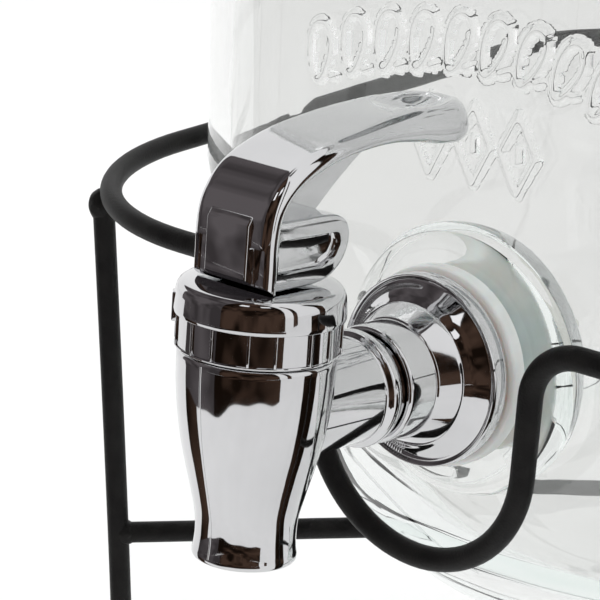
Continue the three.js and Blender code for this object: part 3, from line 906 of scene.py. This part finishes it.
def relief_at(points):
    """How far the garland stands out at each (x, z)."""
    nearest = np.full(len(points), np.inf)
    for line in ornament():
        rows = np.array(line)
        for a, b in zip(rows, rows[1:]):
            d = b - a
            t = np.clip(((points - a) @ d) / (d @ d), 0, 1)
            nearest = np.minimum(nearest, np.linalg.norm(points - (a + t[:, None] * d), axis=1))
    return RELIEF * np.sqrt(np.clip(1 - (nearest / STROKE) ** 2, 0, 1))


def raise_garland(verts):
    """Pushes out the front wall's outer face where the garland is."""
    x, y, z = verts.T
    wall = wall_at(z)
    front = (-y > wall - 0.05) & (np.hypot(x, y) > wall - 0.05) & (np.abs(z - LOZENGE_Z - 14) < 26)
    verts[front, 1] -= relief_at(verts[front][:, [0, 2]])


def jar_angles():
    """Columns round the jar, close together across the garland."""
    front = -math.pi / 2
    rest = TURN - 2 * FINE_SPAN
    fine = [front - FINE_SPAN + 2 * FINE_SPAN * k / FINE_COLUMNS for k in range(FINE_COLUMNS)]
    return fine + [front + FINE_SPAN + rest * k / COARSE_COLUMNS for k in range(COARSE_COLUMNS)]


def make_jar():
    angles = jar_angles()
    count = len(angles)
    grow = np.array([rounded_square(a, 1, JAR_CORNER) for a in angles])
    heading = np.array([(math.cos(a), math.sin(a)) for a in angles])
    verts, rings = [], []
    for r, z, square in jar_profile():
        if r < ON_AXIS:
            rings.append([len(verts)] * count)
            verts.append((0, 0, z))
        else:
            rings.append(list(range(len(verts), len(verts) + count)))
            verts += [(x, y, z) for x, y in heading * (r * (1 + square * (grow - 1)))[:, None]]
    verts = np.array(verts)
    raise_garland(verts)
    jar = mesh_object("jar_shell", verts, skin(zip(rings, rings[1:])), JAR)
    face, back = TAP_REACH, TAP_REACH + PAD
    boss = lathe("boss", fillet([(0, face), (BOSS_R - 1.5, face, 4), (BOSS_R + 1.5, face + 5, 3),
                                 (BOSS_R, back, 3), (0, back)]), TAP @ ALONG_Y, sides=128)
    boolean(jar, "UNION", [boss])
    boolean(jar, "DIFFERENCE", [rod("hole", SHANK_BORE, 40, 90, TAP @ ALONG_Y, sides=96)])
    finish_piece(jar, "jar", "glass_jar", "clear_glass", 45)


def make_lid():
    rim = JAR_HEIGHT
    outer = NECK_R + 4.6
    band = lathe("lid_band_ring", fillet([
        (outer - 1.4, rim - 16), (outer, rim - 16, 0.6), (outer, rim - 13, 0.4),
        (outer - 0.7, rim - 12.3, 0.4), (outer - 0.7, rim - 9.5, 0.4), (outer, rim - 8.8, 0.4),
        (outer, rim + 4.8, 1.2), (NECK_R - 6, rim + 4.8, 0.4), (NECK_R - 6, rim + 3.8, 0.3),
        (outer - 1.4, rim + 3.8, 0.3), (outer - 1.4, rim - 16)]), sides=192)
    grips = [360 * k / 96 for k in range(96)]
    join(band, turned_blocks("ridge", (0.5, 0.9, 9.5), (outer - 0.2, 0, rim - 3), 0.2, grips))
    band.data.transform(JAR)
    finish_piece(band, "band", "lid_band", "lid_steel")
    disc = lathe("lid_disc_plate", fillet([
        (0, rim + 2.4), (outer - 2, rim + 2.4, 0.2), (outer - 2, rim + 3.5, 0.3),
        (NECK_R - 7, rim + 3.5, 0.8), (NECK_R - 9, rim + 5.5, 0.8), (NECK_R - 13, rim + 5.5, 0.6),
        (NECK_R - 14.5, rim + 4.7, 0.6), (NECK_R - 20, rim + 4.7, 0.6), (NECK_R - 21.5, rim + 5.5, 0.6),
        (0, rim + 5.5)]), JAR, sides=160)
    finish_piece(disc, "lid", "lid_disc", "lid_steel")
    gasket = lathe("lid_gasket_ring", fillet([
        (NECK_R - 5, rim + GAP), (NECK_R + 1, rim + GAP, 0.4), (NECK_R + 1, rim + 2.1, 0.4),
        (NECK_R - 5, rim + 2.1, 0.4), (NECK_R - 5, rim + GAP)]), JAR, sides=128)
    finish_piece(gasket, "lid", "lid_gasket", "silicone")


# ---------- studio, in metres and degrees ----------

WORLD_LIGHT = 1.06
FLOOR_HALF = 6
MAT_Z = 0.001
HOOD_RADIUS = 1.9
MAT_INNER = 0.56
STRIP_INNER = 0.12
THROUGH_GLASS = 0.9  # how far a card turns white behind glass
KEY_ENERGY = 5
KEY_SIZE = 1.2
KEY_AT = Vector((-1.0, -0.6, 1.6))
KEY_AIM = Vector((0, 0, 0.2))


def glowing(name, colours, scale, strength=1.0):
    """A card's glow wanders between two colours. Through glass it is nearly plain white."""
    material, tree = node_material(name)
    tree.nodes.remove(tree.nodes["Principled BSDF"])
    glow = add(tree, "Emission", Strength=strength)
    tree.links.new(ramp(tree, noise(tree, scale, 2), colours, (0.42, 0.62)), glow.inputs["Color"])
    plain = add(tree, "Emission")
    path = add(tree, "LightPath")
    through = calculate(tree, "MINIMUM", path.outputs["Transmission Depth"], THROUGH_GLASS)
    mixed_surface(tree, through, glow.outputs["Emission"], plain.outputs["Emission"])
    return material


def reflected(name, rows, material):
    """A sheet through rows of points, seen only in reflections."""
    width = len(rows[0])
    starts = [i * width + k for i in range(len(rows) - 1) for k in range(width - 1)]
    faces = [(v, v + 1, v + width + 1, v + width) for v in starts]
    obj = mesh_object(name, [point for row in rows for point in row], faces)
    obj.data.materials.append(material)
    for ray in ("camera", "diffuse", "transmission", "shadow", "volume_scatter"):
        setattr(obj, "visible_" + ray, False)


def steps_between(ends, count):
    return [math.radians(ends[0] + (ends[1] - ends[0]) * k / count) for k in range(count + 1)]


def card(name, azimuths, elevations, material, radius=HOOD_RADIUS, steps=24):
    """A patch of a ball round the tap. Azimuth 0 is in front of the tap."""
    rows = []
    for e in steps_between(elevations, steps):
        ring = [Vector((math.sin(a) * math.cos(e), -math.cos(a) * math.cos(e), math.sin(e)))
                for a in steps_between(azimuths, steps)]
        rows.append([MM * TAP_ORIGIN + radius * direction for direction in ring])
    reflected(name, rows, material)


def mat(name, azimuths, inner, outer, material):
    """A patch of floor round the tap, with wavy edges."""
    rows = []
    for r in (inner, outer):
        row = []
        for a in steps_between(azimuths, 72):
            edge = r * (1 + 0.06 * math.sin(4 * a) + 0.03 * math.sin(9 * a))
            row.append((MM * TAP_ORIGIN.x + edge * math.sin(a),
                        MM * TAP_ORIGIN.y - edge * math.cos(a), MAT_Z))
        rows.append(row)
    reflected(name, rows, material)


def make_floor():
    f = FLOOR_HALF
    floor = mesh_object("floor", [(-f, -f, 0), (f, -f, 0), (f, f, 0), (-f, f, 0)], [(0, 1, 2, 3)])
    paper = surface("white_paper", ((0.90, 0.90, 0.90), (0.93, 0.93, 0.93)), 0.8, scale=8)
    floor.data.materials.append(paper)


def make_world():
    world = bpy.data.worlds.new("studio")
    world.use_nodes = True
    set_inputs(world.node_tree.nodes["Background"], {"Color": (1, 1, 1, 1), "Strength": WORLD_LIGHT})
    bpy.context.scene.world = world


def make_reflections():
    """The dim room and soft boxes that the chrome mirrors, placed from the azimuth it is seen from."""
    ahead = math.degrees(VIEW_AZIMUTH)
    dark = glowing("dark_room", ((0.010, 0.006, 0.004), (0.075, 0.045, 0.032)), 1.6)
    grey = glowing("grey_room", ((0.055, 0.048, 0.05), (0.14, 0.125, 0.13)), 1.2)
    bright = glowing("soft_box", ((0.95, 0.95, 0.97), (1, 1, 1)), 1.2, 1.3)
    card("dark_room", (ahead - 52, ahead + 33), (-14, 88), dark)
    card("grey_room", (ahead - 126, ahead - 52), (-14, 102), grey)
    card("grey_room_high", (ahead - 152, ahead - 118), (20, 80), grey, steps=16)
    card("ceiling", (ahead - 180, ahead + 33), (72, 89), grey)
    card("dark_strip", (ahead + 44, ahead + 50), (-14, 60), dark, steps=8)
    card("dark_strip_right", (ahead + 84, ahead + 96), (-14, 50), dark, steps=8)
    mat("dark_table_edge", (ahead - 60, ahead + 34), MAT_INNER, HOOD_RADIUS, dark)
    mat("grey_table_edge", (ahead - 118, ahead - 60), MAT_INNER, HOOD_RADIUS, grey)
    mat("dark_table_strip", (ahead + 70, ahead + 94), STRIP_INNER, HOOD_RADIUS, dark)
    mat("dark_table_strip_left", (ahead - 118, ahead - 92), STRIP_INNER, MAT_INNER, dark)
    card("soft_box_left", (ahead - 34, ahead - 16), (50, 62), bright, HOOD_RADIUS - 0.1, 16)
    card("soft_box_right", (ahead + 6, ahead + 24), (50, 60), bright, HOOD_RADIUS - 0.1, 16)


def make_key_light():
    lamp = placed("key", bpy.data.lights.new("key", "AREA"))
    lamp.data.energy = KEY_ENERGY
    lamp.data.size = KEY_SIZE
    lamp.location = KEY_AT
    lamp.rotation_euler = (KEY_AIM - KEY_AT).to_track_quat("-Z", "Y").to_euler()
    lamp.visible_glossy = False


make_camera()
make_stand()
make_tap_body()
make_bonnet()
make_escutcheon()
make_lever()
make_valve()
make_fixings()
make_jar()
make_lid()
make_floor()
make_world()
make_reflections()
make_key_light()
bpy.context.scene.view_settings.view_transform = "Standard"
